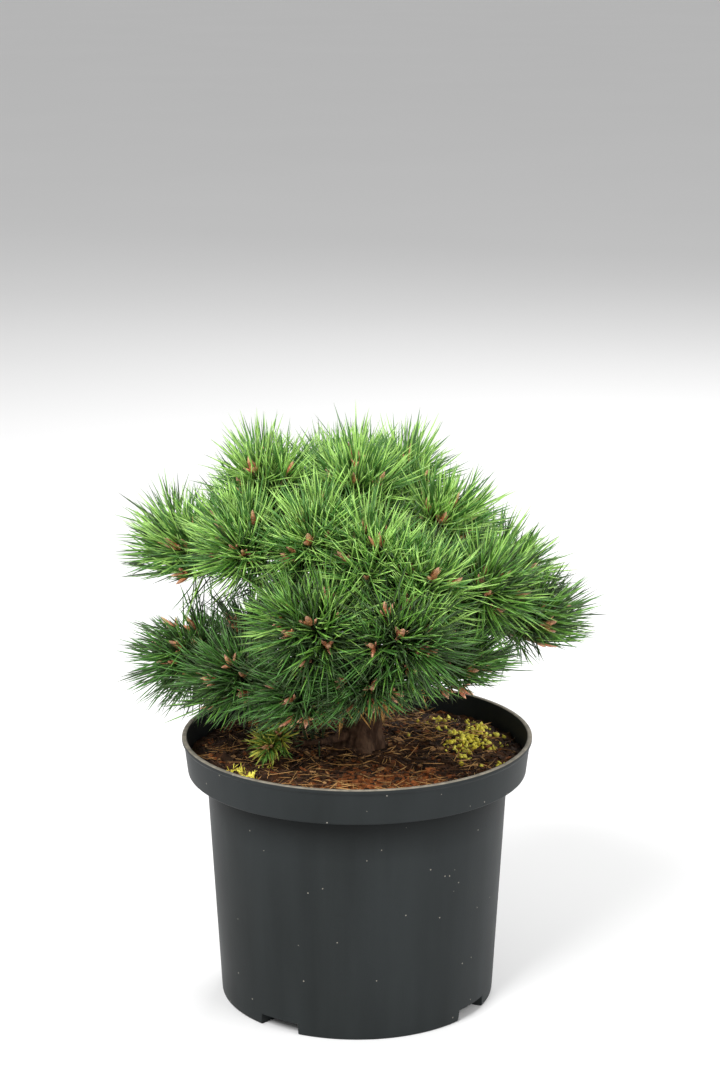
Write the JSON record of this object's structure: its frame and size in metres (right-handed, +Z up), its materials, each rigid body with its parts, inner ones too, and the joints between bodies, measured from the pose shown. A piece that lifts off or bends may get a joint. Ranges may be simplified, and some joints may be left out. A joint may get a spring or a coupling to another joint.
{
  "type": "potted dwarf scots pine",
  "caption": "Dwarf Scots pine, a low dense bush of long paired needles and resinous buds, growing in a round black nursery pot.",
  "frame": {"origin": "centre of the pot's flat underside", "axes": "+Z up along the pot's axis, +X to the right and -Y to the front of the plant as pictured"},
  "size_m": [0.3156, 0.2983, 0.3925],
  "materials": {
    "pot_plastic": "satin",
    "peat_and_bark": "matte",
    "pine_bark": "matte",
    "pine_needles": "satin"
  },
  "bodies": {
    "root": {"pot": "pot_plastic", "soil": "peat_and_bark", "trunk": "pine_bark", "bough_top_left": "pine_bark", "bough_top_right": "pine_bark", "bough_left_upper": "pine_bark", "bough_left_far": "pine_bark", "bough_left_middle": "pine_bark", "bough_right_upper": "pine_bark", "bough_centre": "pine_bark", "bough_centre_left": "pine_bark", "bough_centre_right": "pine_bark", "bough_right_middle": "pine_bark", "bough_right_shoulder": "pine_bark", "bough_right_far": "pine_bark", "bough_front_low": "pine_bark", "bough_front_foot": "pine_bark", "bough_right_foot": "pine_bark", "bough_left_low_far": "pine_bark", "bough_left_low": "pine_bark", "bough_centre_low_left": "pine_bark", "bough_soil_left": "pine_bark", "bough_back_top": "pine_bark", "bough_back_left_upper": "pine_bark", "bough_back_right_upper": "pine_bark", "bough_back_centre": "pine_bark", "bough_back_left_low": "pine_bark", "bough_back_right_low": "pine_bark", "foliage_top_middle": "pine_needles", "foliage_top_left": "pine_needles", "foliage_top_right": "pine_needles", "foliage_left_upper": "pine_needles", "foliage_left_far": "pine_needles", "foliage_left_middle": "pine_needles", "foliage_right_upper": "pine_needles", "foliage_centre": "pine_needles", "foliage_centre_left": "pine_needles", "foliage_centre_right": "pine_needles", "foliage_right_middle": "pine_needles", "foliage_right_shoulder": "pine_needles", "foliage_right_far": "pine_needles", "foliage_front_low": "pine_needles", "foliage_front_foot": "pine_needles", "foliage_right_foot": "pine_needles", "foliage_left_low_far": "pine_needles", "foliage_left_low": "pine_needles", "foliage_centre_low_left": "pine_needles", "foliage_soil_left": "pine_needles", "foliage_back_top": "pine_needles", "foliage_back_left_upper": "pine_needles", "foliage_back_right_upper": "pine_needles", "foliage_back_centre": "pine_needles", "foliage_back_left_low": "pine_needles", "foliage_back_right_low": "pine_needles"}
  },
  "joints": []
}
